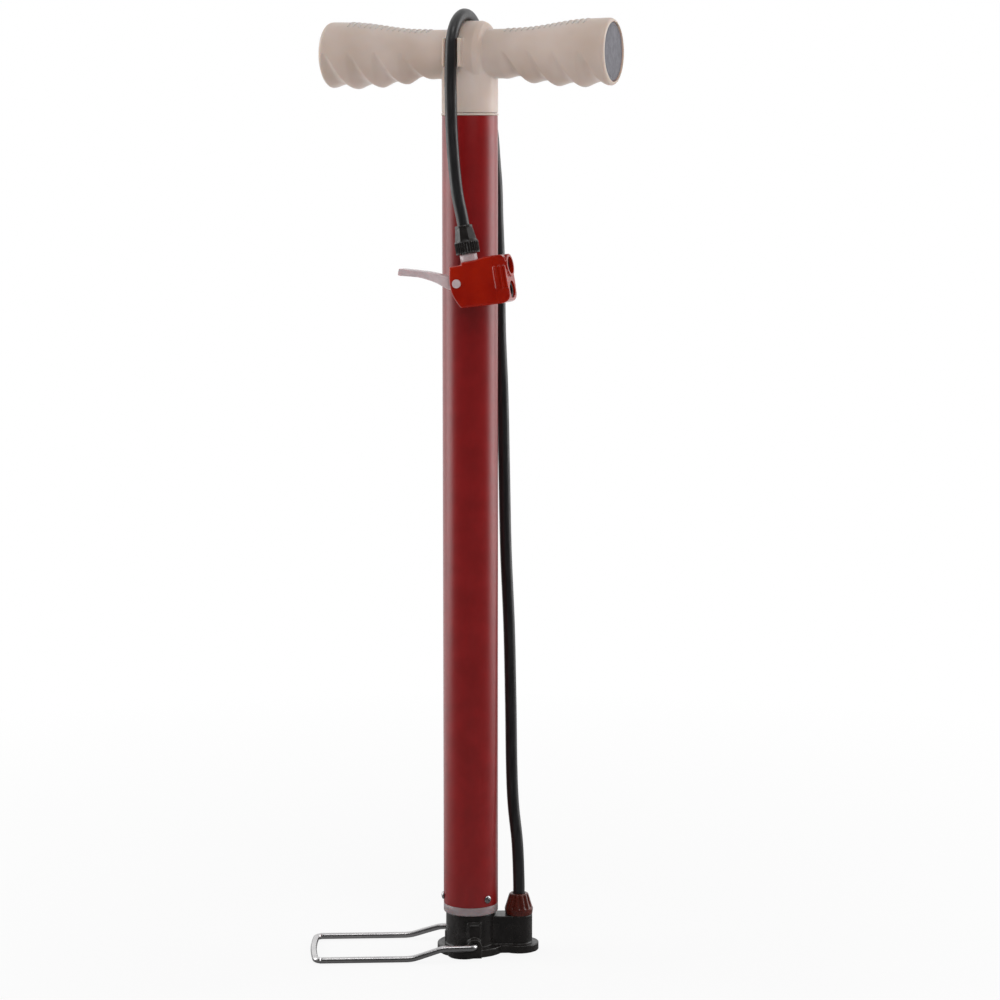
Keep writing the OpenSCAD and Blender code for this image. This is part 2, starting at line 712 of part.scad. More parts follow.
module head_lever() {
    color([0.82, 0.75, 0.77]) in_head() rotate([0, lever_rest, 0]) difference() {
        union() {
            lever_round(0, 0, cam_r, lever_half);
            hull() {
                lever_round(0, 0, cam_lobe_r, lever_half);
                rotate([0, lever_swing - lever_rest, 0]) lever_round(cam_off, 0, cam_lobe_r, lever_half);
            }
            hull() {
                lever_round(-2, -0.5, arm_root_r, lever_half);
                lever_round(-14, 0.2, arm_mid_r, lever_half);
            }
            hull() {
                lever_round(-14, 0.2, arm_mid_r, lever_half);
                lever_round(-27, 0.2, paddle_r, paddle_half);
            }
            hull() {
                lever_round(-27, 0.2, paddle_r, paddle_half);
                lever_round(-lever_len + arm_tip_r, 0, arm_tip_r, paddle_half);
            }
        }
        lever_round(0, 0, pin_r + fit, head_depth);
    }
}

module lever_pin() {
    color([0.85, 0.8, 0.8]) in_head() {
        rotate([90, 0, 0]) cylinder(r = pin_r, h = head_depth, center = true, $fn = 32);
        for (s = [-1, 1]) translate([0, s * (head_depth / 2 - 0.65), 0]) rotate([-s * 90, 0, 0])
            cylinder(r = pin_head_r, h = 1.5, $fn = 32);
    }
}

module grommet(z, bore) {
    color([0.15, 0.14, 0.14]) in_head() translate([seat_x, 0, z]) rotate([0, 90, 0]) difference() {
        cylinder(r = mouth_r - fit, h = grommet_len);
        translate([0, 0, -1]) cylinder(d = bore, h = grommet_len + 2);
    }
}

module grommet_pusher() {
    color([0.82, 0.78, 0.74]) in_head() difference() {
        union() {
            translate([pusher_x, 0, mouth_mid]) rotate([0, 90, 0])
                cylinder(r = pusher_rod_r, h = pusher_plate_x - pusher_x + 1, $fn = 32);
            translate([pusher_plate_x, -chamber_half + gap, narrow_z - 3.5])
                cube([pusher_plate_t, 2 * (chamber_half - gap), mouth_pitch + 7]);
        }
        for (z = [wide_z, narrow_z]) translate([pusher_plate_x - 1, 0, z]) rotate([0, 90, 0])
            cylinder(r = pusher_hole_r, h = pusher_plate_t + 2, $fn = 24);
    }
}

foot();
bottom_plug();
plug_seal();
barrel();
barrel_screws();
top_guide();
valve_disc();
valve_spring();
hose_barb();
hose_nut();
hose_rise();
foot_bail();
plunger_rod();
piston_nut();
piston_plate();
cup_seal();
piston_backing();
rod_bumper();
handle();
rod_insert();
end_cap(-1);  // end_cap_left
end_cap(1);  // end_cap_right
hose_loop();
head_ferrule();
head_stem();
head_body();
head_lever();
lever_pin();
grommet(wide_z, wide_bore_d);  // wide_grommet
grommet(narrow_z, narrow_bore_d);  // narrow_grommet
grommet_pusher();
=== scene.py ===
"""Looks of the floor bike pump. Metres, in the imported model's frame: +Z up, origin on the barrel axis."""
import math

import bmesh
import bpy
from mathutils import Matrix, Vector


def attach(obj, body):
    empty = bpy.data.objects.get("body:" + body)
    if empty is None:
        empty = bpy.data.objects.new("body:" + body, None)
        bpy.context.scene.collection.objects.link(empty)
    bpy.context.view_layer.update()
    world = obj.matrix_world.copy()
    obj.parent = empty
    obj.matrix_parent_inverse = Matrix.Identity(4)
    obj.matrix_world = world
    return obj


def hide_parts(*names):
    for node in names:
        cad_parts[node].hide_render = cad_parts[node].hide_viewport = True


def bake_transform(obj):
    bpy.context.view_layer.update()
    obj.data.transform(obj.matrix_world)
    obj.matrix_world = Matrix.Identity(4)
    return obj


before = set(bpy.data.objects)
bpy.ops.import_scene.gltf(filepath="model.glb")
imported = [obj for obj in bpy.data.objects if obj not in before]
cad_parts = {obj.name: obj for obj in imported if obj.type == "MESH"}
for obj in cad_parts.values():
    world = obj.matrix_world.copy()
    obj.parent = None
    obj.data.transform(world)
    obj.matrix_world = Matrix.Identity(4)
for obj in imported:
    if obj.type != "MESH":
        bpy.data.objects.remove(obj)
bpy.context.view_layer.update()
MM = 0.001

# ---------- sizes, repeated from the part's source; metres unless said ----------

BARREL_R = 17.5 * MM
BARREL_LOW = 31.5 * MM
BARREL_TOP = 534.5 * MM
BORE_R = 16 * MM
BAR_Z = 572.8 * MM
HANDLE_YAW = math.radians(24)
HALF_LEN = 95  # of the handle, in mm like all the outlines below
BOSS = Vector((31, 0, 23.4)) * MM
HOSE_R = 3.75 * MM
HEAD_AT = Vector((-6.4, -29, 431.4)) * MM
HEAD_TILT = math.radians(10)
HEAD_YAW = math.radians(20)
STEM_X = 7.3 * MM
FERRULE_Z = 17.1 * MM
BAIL_PIVOT_X = 1.5  # mm
BAIL_PIVOT_Z = 8  # mm

HANDLE_FRAME = Matrix.Translation((0, 0, BAR_Z)) @ Matrix.Rotation(-HANDLE_YAW, 4, "Z")
HEAD_FRAME = (
    Matrix.Translation(HEAD_AT) @ Matrix.Rotation(-HEAD_YAW, 4, "Z") @ Matrix.Rotation(-HEAD_TILT, 4, "Y")
)

# ---------- camera ----------

CAMERA_TURN = math.radians(3)
CAMERA_DISTANCE = 1.799
CAMERA_SIDE = 0.0188
CAMERA_Z = 0.5126
CAMERA_PITCH = math.radians(6.97)
CAMERA_LENS = 102.81
CAMERA_SENSOR = 36
CAMERA_FAR = 20


def make_camera():
    data = bpy.data.cameras.new("camera")
    data.lens = CAMERA_LENS
    data.sensor_width = CAMERA_SENSOR
    data.clip_end = CAMERA_FAR
    camera = bpy.data.objects.new("camera", data)
    bpy.context.scene.collection.objects.link(camera)
    turn = Matrix.Rotation(-CAMERA_TURN, 4, "Z")
    place = Matrix.Translation((CAMERA_SIDE, -CAMERA_DISTANCE, CAMERA_Z))
    camera.matrix_world = turn @ place @ Matrix.Rotation(math.pi / 2 - CAMERA_PITCH, 4, "X")
    bpy.context.scene.camera = camera


make_camera()

# ---------- mesh helpers ----------


def new_object(name, verts, faces, smooth=True):
    mesh = bpy.data.meshes.new(name)
    mesh.from_pydata([tuple(v) for v in verts], [], faces)
    mesh.validate()
    if smooth:
        mesh.shade_smooth()
    obj = bpy.data.objects.new(name, mesh)
    bpy.context.scene.collection.objects.link(obj)
    return obj


def fix_normals(obj):
    work = bmesh.new()
    work.from_mesh(obj.data)
    bmesh.ops.recalc_face_normals(work, faces=work.faces)
    work.to_mesh(obj.data)
    work.free()
    return obj


def lathe(name, profile, matrix=Matrix.Identity(4), sides=96, radius=None):
    """Turns (r, z) points, an open or closed line, about Z. radius(r, z, angle) may change the radius."""
    rows = []
    for r, z in profile:
        for k in range(sides):
            a = 2 * math.pi * k / sides
            rr = radius(r, z, a) if radius else r
            rows.append(matrix @ Vector((rr * math.cos(a), rr * math.sin(a), z)))
    faces = []
    for i in range(len(profile) - 1):
        for k in range(sides):
            n = (k + 1) % sides
            faces.append((i * sides + k, i * sides + n, (i + 1) * sides + n, (i + 1) * sides + k))
    if profile[0][0] > 1e-6 and profile[0] != profile[-1]:
        faces.append(tuple(range(sides - 1, -1, -1)))
        last = (len(profile) - 1) * sides
        faces.append(tuple(last + k for k in range(sides)))
    obj = new_object(name, rows, faces)
    if profile[0] == profile[-1] or profile[0][0] <= 1e-6 or profile[-1][0] <= 1e-6:
        weld(obj)
    return fix_normals(obj)


def weld(obj, distance=1e-6):
    work = bmesh.new()
    work.from_mesh(obj.data)
    bmesh.ops.remove_doubles(work, verts=work.verts, dist=distance)
    work.to_mesh(obj.data)
    work.free()
    return obj


def catmull(points, steps):
    """Smooth curve through the points, as many steps to each stretch."""
    out = []
    last = len(points) - 1
    for i in range(last):
        a, b, c, d = points[max(i - 1, 0)], points[i], points[i + 1], points[min(i + 2, last)]
        for k in range(steps):
            t = k / steps
            square = 2 * a - 5 * b + 4 * c - d
            cube = 3 * b - a - 3 * c + d
            out.append(0.5 * (2 * b + (c - a) * t + square * t * t + cube * t**3))
    out.append(points[last])
    return out


CAP_RINGS = (30, 60, 85)  # degrees round a swept bar's end


def sweep(name, path, radius, sides=24, round_ends=False):
    """Round bar along a path, turned as little as it can be from ring to ring."""
    tangents = []
    for i in range(len(path)):
        tangents.append((path[min(i + 1, len(path) - 1)] - path[max(i - 1, 0)]).normalized())
    side = tangents[0].orthogonal().normalized()
    rings = []
    for i, point in enumerate(path):
        side = (side - tangents[i] * side.dot(tangents[i])).normalized()
        up = tangents[i].cross(side)
        rings.append((point, side.copy(), up, radius))
    if round_ends:
        for end, sign in ((0, -1), (-1, 1)):
            point, s, u, r = rings[end]
            caps = [
                (point + tangents[end] * sign * r * math.sin(t), s, u, r * math.cos(t))
                for t in map(math.radians, CAP_RINGS)
            ]
            rings = list(reversed(caps)) + rings if end == 0 else rings + caps
    verts = []
    for point, s, u, r in rings:
        for k in range(sides):
            a = 2 * math.pi * k / sides
            verts.append(point + r * (math.cos(a) * s + math.sin(a) * u))
    faces = []
    for i in range(len(rings) - 1):
        for k in range(sides):
            n = (k + 1) % sides
            faces.append((i * sides + k, i * sides + n, (i + 1) * sides + n, (i + 1) * sides + k))
    faces.append(tuple(range(sides - 1, -1, -1)))
    faces.append(tuple((len(rings) - 1) * sides + k for k in range(sides)))
    return fix_normals(new_object(name, verts, faces))


def apply_modifiers(obj):
    bpy.context.view_layer.update()
    graph = bpy.context.evaluated_depsgraph_get()
    mesh = bpy.data.meshes.new_from_object(obj.evaluated_get(graph))
    obj.modifiers.clear()
    obj.data = mesh
    return obj


def join(target, others):
    """Puts the other objects' meshes into the target's."""
    work = bmesh.new()
    for obj in [target] + list(others):
        mesh = obj.data.copy()
        mesh.transform(obj.matrix_world)
        work.from_mesh(mesh)
    work.to_mesh(target.data)
    work.free()
    target.matrix_world = Matrix.Identity(4)
    for obj in others:
        bpy.data.objects.remove(obj)
    return target


def remesh(obj, voxel, smooth=4, strength=0.5):
    """One closed skin over all that the object holds, with its edges eased."""
    step = obj.modifiers.new("skin", "REMESH")
    step.mode = "VOXEL"
    step.voxel_size = voxel
    if smooth:
        ease = obj.modifiers.new("ease", "SMOOTH")
        ease.factor = strength
        ease.iterations = smooth
    apply_modifiers(obj)
    obj.data.shade_smooth()
    return obj


def cut(obj, tools):
    for tool in tools:
        step = obj.modifiers.new("cut", "BOOLEAN")
        step.operation = "DIFFERENCE"
        step.solver = "EXACT"
        step.object = tool
        apply_modifiers(obj)
        bpy.data.objects.remove(tool)
    return obj


def box_mesh(name, low, high, matrix=Matrix.Identity(4), bevel=0, segments=4):
    work = bmesh.new()
    bmesh.ops.create_cube(work, size=1)
    low, high = Vector(low), Vector(high)
    size = high - low
    for v in work.verts:
        v.co = Vector([(low[i] + high[i]) / 2 + v.co[i] * size[i] for i in range(3)])
    if bevel:
        bmesh.ops.bevel(
            work, geom=work.edges[:], offset=bevel, segments=segments, profile=0.5, affect="EDGES"
        )
    work.transform(matrix)
    mesh = bpy.data.meshes.new(name)
    work.to_mesh(mesh)
    work.free()
    mesh.shade_smooth()
    obj = bpy.data.objects.new(name, mesh)
    bpy.context.scene.collection.objects.link(obj)
    return obj


def rod_mesh(name, start, end, radius, matrix=Matrix.Identity(4), sides=64):
    """Straight round solid between two points."""
    start, end = Vector(start), Vector(end)
    turn = (end - start).to_track_quat("Z", "Y").to_matrix().to_4x4()
    place = matrix @ Matrix.Translation(start) @ turn
    length = (end - start).length
    return lathe(name, [(radius, 0), (radius, length)], place, sides)


def bevelled(obj, width, segments=3, angle=35):
    step = obj.modifiers.new("edge", "BEVEL")
    step.width = width
    step.segments = segments
    step.limit_method = "ANGLE"
    step.angle_limit = math.radians(angle)
    step.harden_normals = False
    return obj

# ---------- materials ----------


class Shader:
    """A Principled material with a few node shortcuts."""

    def __init__(self, name, color, roughness, **sockets):
        self.material = bpy.data.materials.new(name)
        self.material.use_nodes = True
        self.tree = self.material.node_tree
        self.surface = self.tree.nodes["Principled BSDF"]
        self.set("Base Color", (*color, 1))
        self.set("Roughness", roughness)
        for key, value in sockets.items():
            self.set(key.replace("_", " "), value)
        self.place = self.tree.nodes.new("ShaderNodeTexCoord").outputs["Object"]
        self.height = None

    def set(self, socket, value):
        self.surface.inputs[socket].default_value = value

    def stretched(self, x, y, z):
        node = self.tree.nodes.new("ShaderNodeMapping")
        node.inputs["Scale"].default_value = (x, y, z)
        self.tree.links.new(self.place, node.inputs["Vector"])
        return node.outputs["Vector"]

    def noise(self, scale, detail=4, vector=None):
        node = self.tree.nodes.new("ShaderNodeTexNoise")
        node.inputs["Scale"].default_value = scale
        node.inputs["Detail"].default_value = detail
        self.tree.links.new(vector or self.place, node.inputs["Vector"])
        return node.outputs["Fac"]

    def cells(self, scale):
        node = self.tree.nodes.new("ShaderNodeTexVoronoi")
        node.inputs["Scale"].default_value = scale
        self.tree.links.new(self.place, node.inputs["Vector"])
        return node.outputs["Distance"]

    def ramp(self, fac, low, high, start=0.3, end=0.7):
        """A value that runs from low to high as fac runs from start to end."""
        node = self.tree.nodes.new("ShaderNodeMapRange")
        node.inputs["From Min"].default_value = start
        node.inputs["From Max"].default_value = end
        node.inputs["To Min"].default_value = low
        node.inputs["To Max"].default_value = high
        self.tree.links.new(fac, node.inputs["Value"])
        return node.outputs["Result"]

    def colors(self, fac, stops):
        node = self.tree.nodes.new("ShaderNodeValToRGB")
        ramp = node.color_ramp
        while len(ramp.elements) < len(stops):
            ramp.elements.new(0.5)
        for element, (position, color) in zip(ramp.elements, stops):
            element.position = position
            element.color = (*color, 1)
        self.tree.links.new(fac, node.inputs["Fac"])
        return node.outputs["Color"]

    def mix(self, fac, a, b):
        node = self.tree.nodes.new("ShaderNodeMix")
        node.data_type = "RGBA"
        self.tree.links.new(fac, node.inputs["Factor"])
        for socket, value in ((node.inputs[6], a), (node.inputs[7], b)):
            if isinstance(value, tuple):
                socket.default_value = (*value, 1)
            else:
                self.tree.links.new(value, socket)
        return node.outputs[2]

    def color(self, output):
        self.tree.links.new(output, self.surface.inputs["Base Color"])

    def roughness(self, output):
        self.tree.links.new(output, self.surface.inputs["Roughness"])

    def bump(self, height, strength, distance):
        node = self.tree.nodes.new("ShaderNodeBump")
        node.inputs["Strength"].default_value = strength
        node.inputs["Distance"].default_value = distance
        self.tree.links.new(height, node.inputs["Height"])
        if self.height:
            self.tree.links.new(self.height, node.inputs["Normal"])
        self.height = node.outputs["Normal"]
        self.tree.links.new(self.height, self.surface.inputs["Normal"])

    def edge_highlight_mask(self, low=0.52, high=0.62):
        """1 on convex edges, 0 on flats and in corners; the mask for painted edge highlights."""
        point = self.tree.nodes.new("ShaderNodeNewGeometry").outputs["Pointiness"]
        return self.ramp(point, 0, 1, low, high)


def red_paint():
    s = Shader("red_paint", (0.33, 0.006, 0.010), 0.36, Coat_Weight=0.35, Coat_Roughness=0.3)
    mottle = s.noise(90, 6)
    s.color(s.colors(mottle, [(0.35, (0.225, 0.0022, 0.0028)), (0.65, (0.27, 0.0035, 0.0045))]))
    s.roughness(s.ramp(s.noise(420, 3), 0.32, 0.42))
    s.bump(s.noise(1400, 2), 0.10, 0.00008)
    scratch = s.noise(60, 2, s.stretched(30, 30, 0.6))
    s.bump(s.ramp(scratch, 0, 1, 0.62, 0.74), 0.12, 0.00003)
    return s.material


def cream_plastic():
    deep = (0.60, 0.475, 0.40)
    pale = (0.70, 0.585, 0.525)
    s = Shader(
        "cream_plastic", pale, 0.36,
        Subsurface_Weight=0.35, Subsurface_Scale=0.006, Specular_IOR_Level=0.45,
    )
    s.set("Subsurface Radius", (1.0, 0.55, 0.35))
    cloud = s.noise(22, 3)
    s.color(s.colors(cloud, [(0.35, deep), (0.68, pale)]))
    s.roughness(s.ramp(s.noise(260, 4), 0.30, 0.44))
    s.bump(s.noise(2600, 3), 0.16, 0.00006)
    s.bump(s.noise(70, 2), 0.10, 0.0004)
    return s.material


def white_plastic():
    s = Shader("white_plastic", (0.64, 0.52, 0.53), 0.26, Subsurface_Weight=0.4, Subsurface_Scale=0.003)
    s.set("Subsurface Radius", (1.0, 0.6, 0.6))
    s.color(s.colors(s.noise(60, 3), [(0.35, (0.56, 0.44, 0.45)), (0.65, (0.68, 0.57, 0.58))]))
    s.roughness(s.ramp(s.noise(500, 3), 0.2, 0.34))
    s.bump(s.noise(1800, 2), 0.1, 0.00005)
    return s.material


def ring_plastic():
    # White plastic darkened as painted shade, for the shade the ring sits in under the barrel.
    s = Shader("ring_plastic", (0.40, 0.32, 0.34), 0.34, Subsurface_Weight=0.25, Subsurface_Scale=0.003)
    s.color(s.colors(s.noise(80, 3), [(0.35, (0.27, 0.21, 0.215)), (0.65, (0.35, 0.28, 0.29))]))
    s.roughness(s.ramp(s.noise(400, 3), 0.28, 0.42))
    s.bump(s.noise(1500, 2), 0.1, 0.00005)
    return s.material


def head_red():
    s = Shader("head_red", (0.42, 0.022, 0.003), 0.17, Subsurface_Weight=0.12, Subsurface_Scale=0.002)
    s.set("Subsurface Radius", (1.0, 0.2, 0.1))
    s.color(s.colors(s.noise(70, 4), [(0.35, (0.29, 0.0055, 0.0006)), (0.68, (0.40, 0.012, 0.001))]))
    s.roughness(s.ramp(s.noise(600, 3), 0.13, 0.24))
    s.bump(s.noise(900, 3), 0.1, 0.00008)
    s.bump(s.noise(110, 2), 0.08, 0.0003)
    return s.material


def black_plastic():
    dark = (0.009, 0.0075, 0.007)
    light = tuple(2.2 * c for c in dark)
    painted_edge_highlight = (0.05, 0.047, 0.045)
    s = Shader("black_plastic", dark, 0.3)
    mottle = s.colors(s.noise(120, 5), [(0.4, dark), (0.75, light)])
    # Convex edges take a lighter grey as a painted highlight.
    s.color(s.mix(s.edge_highlight_mask(), mottle, painted_edge_highlight))
    s.roughness(s.ramp(s.noise(340, 5), 0.23, 0.44))
    s.bump(s.noise(1700, 3), 0.2, 0.0001)
    return s.material


def hose_rubber():
    s = Shader("hose_rubber", (0.012, 0.011, 0.012), 0.38, Specular_IOR_Level=0.6)
    streak = s.noise(36, 4, s.stretched(20, 20, 1.2))
    s.color(s.colors(streak, [(0.3, (0.008, 0.0075, 0.008)), (0.75, (0.022, 0.021, 0.023))]))
    s.roughness(s.ramp(s.noise(220, 5), 0.30, 0.48))
    s.bump(s.noise(2400, 3), 0.22, 0.00008)
    return s.material


def seal_rubber():
    s = Shader("seal_rubber", (0.012, 0.012, 0.012), 0.6)
    s.roughness(s.ramp(s.noise(300, 4), 0.5, 0.72))
    s.bump(s.noise(1500, 4), 0.3, 0.0001)
    return s.material


def zinc_wire():
    s = Shader("zinc_wire", (0.55, 0.54, 0.55), 0.24, Metallic=1.0)
    s.color(s.colors(s.noise(45, 3), [(0.35, (0.50, 0.49, 0.50)), (0.65, (0.60, 0.59, 0.59))]))
    s.roughness(s.ramp(s.noise(120, 3), 0.2, 0.3))
    s.bump(s.noise(60, 2, s.stretched(1, 6, 6)), 0.05, 0.00004)
    return s.material


def steel():
    s = Shader("steel", (0.52, 0.52, 0.53), 0.26, Metallic=1.0)
    s.roughness(s.ramp(s.noise(240, 5), 0.18, 0.38))
    s.bump(s.noise(60, 2, s.stretched(1, 1, 6)), 0.04, 0.00003)
    return s.material


def brass():
    s = Shader("brass", (0.56, 0.38, 0.14), 0.28, Metallic=1.0)
    s.roughness(s.ramp(s.noise(300, 4), 0.22, 0.4))
    s.bump(s.noise(900, 3), 0.1, 0.00005)
    return s.material


def nut_plastic():
    painted_edge_highlight = (0.13, 0.035, 0.025)
    s = Shader(
        "dark_red_plastic", (0.050, 0.009, 0.006), 0.26, Subsurface_Weight=0.15, Subsurface_Scale=0.002
    )
    mottle = s.colors(s.noise(90, 4), [(0.35, (0.070, 0.009, 0.005)), (0.7, (0.105, 0.016, 0.008))])
    # Convex edges take a lighter red-brown as a painted highlight.
    s.color(s.mix(s.edge_highlight_mask(), mottle, painted_edge_highlight))
    s.roughness(s.ramp(s.noise(500, 4), 0.2, 0.36))
    s.bump(s.noise(1300, 3), 0.16, 0.00008)
    return s.material


def grey_plastic():
    s = Shader("grey_plastic", (0.115, 0.112, 0.135), 0.5)
    s.color(s.colors(s.noise(200, 5), [(0.35, (0.095, 0.092, 0.113)), (0.65, (0.135, 0.130, 0.155))]))
    s.roughness(s.ramp(s.noise(500, 4), 0.42, 0.6))
    s.bump(s.cells(1600), 0.25, 0.0001)
    return s.material


MATERIALS = {
    "red_paint": red_paint(),
    "cream_plastic": cream_plastic(),
    "white_plastic": white_plastic(),
    "ring_plastic": ring_plastic(),
    "head_red": head_red(),
    "black_plastic": black_plastic(),
    "hose_rubber": hose_rubber(),
    "seal_rubber": seal_rubber(),
    "zinc_wire": zinc_wire(),
    "steel": steel(),
    "brass": brass(),
    "dark_red_plastic": nut_plastic(),
    "grey_plastic": grey_plastic(),
}


def paint(obj, slot):
    obj.data.materials.clear()
    obj.data.materials.append(MATERIALS[slot])
    return obj


def finish_piece(obj, body, slot, *nodes):
    """The piece takes the place of its CAD nodes, rides on their body and gets its finish."""
    paint(obj, slot)
    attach(obj, body)
    if nodes:
        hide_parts(*nodes)
    return obj


# ---------- hose ----------

ROUTE_RISE = [
    (31, 0, 31.2), (31, 0, 45), (30, 0, 70), (27.5, 1.5, 95), (26.5, 3, 120),
    (26, 4.5, 160), (25, 6, 210), (23, 8, 260), (22, 9, 310), (21, 10, 360),
    (19.5, 11.5, 400), (19, 12.5, 440), (18, 14, 470), (17.5, 15, 490),
]
ROUTE_BACK = [(16.5, 17, 505), (15, 20, 525), (11.5, 22.5, 545), (8, 23.5, 560), (7, 23, 572.8)]
ROUTE_FRONT = [(-12.5, -20.7, 572.8), (-12.8, -21.8, 550), (-12, -24, 520), (-9.5, -27.3, 490)]
HOOK_SIDE = -3 * MM
HOOK_R = 24 * MM


def hook_point(degrees):
    t = math.radians(degrees)
    return HANDLE_FRAME @ Vector((HOOK_SIDE, HOOK_R * math.cos(t), HOOK_R * math.sin(t)))


def hose_path():
    def scaled(points):
        return [Vector(p) * MM for p in points]

    tail = [HEAD_FRAME @ Vector((STEM_X, 0, FERRULE_Z + d * MM)) for d in (21.8, 7)]
    arc = [hook_point(t) for t in range(20, 161, 20)]
    return catmull(scaled(ROUTE_RISE + ROUTE_BACK) + arc + scaled(ROUTE_FRONT) + tail, 8)


def make_hose():
    path = hose_path()
    hose = sweep("hose", path, HOSE_R, sides=28)
    paint(hose, "hose_rubber")
    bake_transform(hose)
    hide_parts("hose_rise", "hose_loop")
    length = sum((b - a).length for a, b in zip(path, path[1:]))
    print("hose length", round(length, 4))
    return hose, path


hose, hose_line = make_hose()

# ---------- handle ----------

GRIP_LINE = [(0, 14.9), (30, 14.9), (42, 15.5), (52, 16.9), (64, 18.8), (76, 20.1), (88, 20.6), (95, 20.6)]
BELLY_LINE = [(0, 15.3), (28, 15.7), (41, 18.9), (58, 20.7), (76, 21.8), (92, 20.6), (95, 20.6)]
SCALLOPS = (33.5, 50.5, 67.5, 84.5)
SCALLOP_HALF = 8.5
SCALLOP_DEEP = 3.0
SCALLOP_REACH = 93  # degrees up from the underside
SCALLOP_LEAN = 6.8
RIM_ROUND = 3.0
GRIP_STATIONS = 380
GRIP_SIDES = 160


def eased(t):
    t = min(max(t, 0), 1)
    return t * t * (3 - 2 * t)


def value_on(line, s):
    """Second value at s on a line of (place, value) points."""
    s = abs(s)
    for (s0, r0), (s1, r1) in zip(line, line[1:]):
        if s <= s1:
            return r0 + (r1 - r0) * (s - s0) / (s1 - s0)
    return line[-1][1]


def grip_radius(s, angle=math.pi):
    """Radius at s along the bar, at an angle from straight down; the finger side is fuller."""
    spread = (-6, -3, 0, 3, 6)
    top = sum(value_on(GRIP_LINE, s + d) for d in spread) / 5
    belly = sum(value_on(BELLY_LINE, s + d) for d in spread) / 5
    return top + (belly - top) * (0.5 + 0.5 * math.cos(angle)) ** 1.2


def finger_groove(s, angle):
    """Depth of the finger grooves: sharp ridges underneath that lean in to a point at mid height."""
    side = abs(math.degrees(angle))
    if side > SCALLOP_REACH:
        return 0
    rise = side / SCALLOP_REACH
    width = SCALLOP_HALF * (1 - rise) ** 0.55
    fade = (1 - rise) ** 0.7
    lean = SCALLOP_LEAN * rise**1.2
    deep = 0
    for centre in SCALLOPS:
        for sign in (-1, 1):
            across = 0.5 + 0.5 * (s - sign * centre + lean) / max(width, 0.4)
            if 0 < across < 1:
                deep = max(deep, math.sin(math.pi * across**1.35))
    return SCALLOP_DEEP * deep * fade


def grip_mesh():
    rows = []
    stations = GRIP_STATIONS
    sides = GRIP_SIDES
    for i in range(stations + 1):
        s = -HALF_LEN + 2 * HALF_LEN * i / stations
        edge = min(HALF_LEN - abs(s), RIM_ROUND)
        rounding = (RIM_ROUND - math.sqrt(max(RIM_ROUND**2 - (RIM_ROUND - edge) ** 2, 0))) * 0.72
        for k in range(sides):
            a = 2 * math.pi * k / sides - math.pi
            r = grip_radius(s, a) - finger_groove(s, a) - rounding
            rows.append(HANDLE_FRAME @ (Vector((s, -r * math.sin(a), -r * math.cos(a))) * MM))
    faces = []
    for i in range(stations):
        for k in range(sides):
            n = (k + 1) % sides
            faces.append((i * sides + k, i * sides + n, (i + 1) * sides + n, (i + 1) * sides + k))
    faces.append(tuple(range(sides - 1, -1, -1)))
    faces.append(tuple(stations * sides + k for k in range(sides)))
    return fix_normals(new_object("handle_moulding", rows, faces))


def grip_teeth():
    """Fine ridges across the top of both grips."""
    teeth = []
    for sign in (-1, 1):
        for i in range(15):
            s = sign * (26 + 3.75 * i)
            r = grip_radius(s) - 0.1
            path = [
                HANDLE_FRAME @ (Vector((s, r * math.sin(t), r * math.cos(t))) * MM)
                for t in [math.radians(a) for a in range(-30, 31, 4)]
            ]
            teeth.append(sweep("tooth", path, 0.6 * MM, sides=10, round_ends=True))
    return teeth


def make_handle():
    grip = grip_mesh()
    neck_line = [(0, 536.02), (17.4, 536.02), (17.6, 536.25), (17.6, BAR_Z / MM), (0, BAR_Z / MM)]
    neck = lathe("neck", [(r * MM, z * MM) for r, z in neck_line])
    drum_line = [
        (0, -11), (17, -11), (19, -10.2), (20, -8.5), (20.2, 0), (20, 9), (18.6, 11.8), (16, 13), (0, 13),
    ]
    turned = HANDLE_FRAME @ Matrix.Rotation(math.pi / 2, 4, "Y")
    drum = lathe("drum", [(r * MM, z * MM) for r, z in drum_line], turned)
    ears = []
    for sign in (-1, 1):
        middle = -3 + sign * (3.75 + 0.2 + 1)
        low, high = Vector((middle - 1, -25, -9)) * MM, Vector((middle + 1, -15, 9)) * MM
        ears.append(box_mesh("ear", low, high, HANDLE_FRAME, 0.9 * MM))
    join(grip, [neck, drum] + ears)
    remesh(grip, 0.52 * MM, smooth=3)
    pockets = []
    for s in (-1, 1):
        start, end = (s * 91.3 * MM, 0, 0), (s * 98 * MM, 0, 0)
        pockets.append(rod_mesh("pocket", start, end, 18.3 * MM, HANDLE_FRAME, 96))
    rod_hole = rod_mesh("hole", (0, 0, 0.530), (0, 0, 0.566), 6.08 * MM)
    cut(grip, pockets + [rod_hole])
    join(grip, grip_teeth())
    grip.data.shade_smooth()
    grip.data.set_sharp_from_angle(angle=math.radians(50))
    finish_piece(grip, "plunger", "cream_plastic", "handle")


make_handle()


def make_end_cap(side, node):
    """Slightly domed disc with a fine ring near its edge."""
    line = [
        (0, 94.4), (9, 94.35), (15.6, 94.2), (15.9, 93.95), (16.2, 94.15), (17.6, 94.05), (18.2, 93.5),
        (18.2, 91.4), (0, 91.4),
    ]
    turn = HANDLE_FRAME @ Matrix.Rotation(math.radians(90 * side), 4, "Y")
    cap = lathe(node + "_disc", [(r * MM, z * MM) for r, z in line], turn, 128)
    finish_piece(bevelled(cap, 0.15 * MM), "plunger", "grey_plastic", node)


make_end_cap(-1, "end_cap_left")
make_end_cap(1, "end_cap_right")

# ---------- barrel ----------


